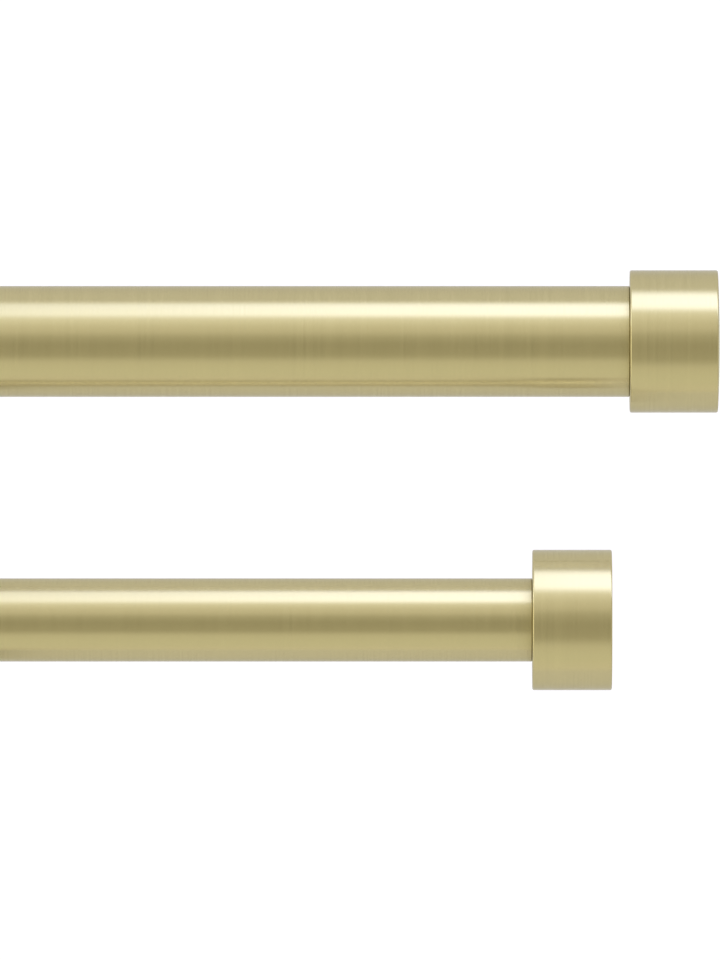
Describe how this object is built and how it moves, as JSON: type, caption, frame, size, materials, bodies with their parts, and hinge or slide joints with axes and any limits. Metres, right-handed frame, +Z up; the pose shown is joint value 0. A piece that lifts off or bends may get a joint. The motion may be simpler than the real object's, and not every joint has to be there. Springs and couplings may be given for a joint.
{
  "type": "double curtain pole",
  "caption": "Thick front and thin rear telescopic curtain poles side by side, each with drum-shaped end caps, carried by wall brackets with sliding arms and open cradles.",
  "frame": {"origin": "on the wall plane, midway between the two brackets and level with their arms, which is the centre of the four wall-screw holes", "axes": "+X along the poles, to the right as seen from the room; +Y into the wall, square to the brackets' back faces; +Z up"},
  "size_m": [0.762, 0.1548, 0.0816],
  "materials": {
    "pole_metal": "pale brass plating, brushed round the tube",
    "cap_metal": "pale brass finish, brushed round the cap",
    "bracket_metal": "pale brass plating, finely brushed",
    "screw_metal": "pale brass plating, turned",
    "plug_plastic": "dark olive, moulded",
    "bush_plastic": "dark olive, moulded"
  },
  "bodies": {
    "wall_bases": {"left_wall_base": "bracket_metal", "left_lock_screw": "screw_metal", "right_wall_base": "bracket_metal", "right_lock_screw": "screw_metal"},
    "carriage": {"left_arm": "bracket_metal", "right_arm": "bracket_metal", "left_front_cradle": "bracket_metal", "left_front_foot_screw": "screw_metal", "left_front_clamp_screw": "screw_metal", "left_rear_cradle": "bracket_metal", "left_rear_foot_screw": "screw_metal", "left_rear_clamp_screw": "screw_metal", "right_front_cradle": "bracket_metal", "right_front_foot_screw": "screw_metal", "right_front_clamp_screw": "screw_metal", "right_rear_cradle": "bracket_metal", "right_rear_foot_screw": "screw_metal", "right_rear_clamp_screw": "screw_metal", "front_outer_tube": "pole_metal", "front_mouth_bush": "bush_plastic", "front_left_plug": "plug_plastic", "front_left_stud": "screw_metal", "front_left_cap": "cap_metal", "rear_outer_tube": "pole_metal", "rear_mouth_bush": "bush_plastic", "rear_left_plug": "plug_plastic", "rear_left_stud": "screw_metal", "rear_left_cap": "cap_metal"},
    "front_inner": {"front_sliding_tube": "pole_metal", "front_tail_bush": "bush_plastic", "front_right_plug": "plug_plastic", "front_right_stud": "screw_metal", "front_right_cap": "cap_metal"},
    "rear_inner": {"rear_sliding_tube": "pole_metal", "rear_tail_bush": "bush_plastic", "rear_right_plug": "plug_plastic", "rear_right_stud": "screw_metal", "rear_right_cap": "cap_metal"}
  },
  "joints": [
    {"name": "projection_slide", "type": "slide", "parent": "wall_bases", "child": "carriage", "axis": [0, -1, 0], "range_m": [0, 0.02]},
    {"name": "front_pole_slide", "type": "slide", "parent": "carriage", "child": "front_inner", "axis": [1, 0, 0], "range_m": [-0.051, 0.457]},
    {"name": "rear_pole_slide", "type": "slide", "parent": "carriage", "child": "rear_inner", "axis": [1, 0, 0], "range_m": [-0.051, 0.457]}
  ]
}
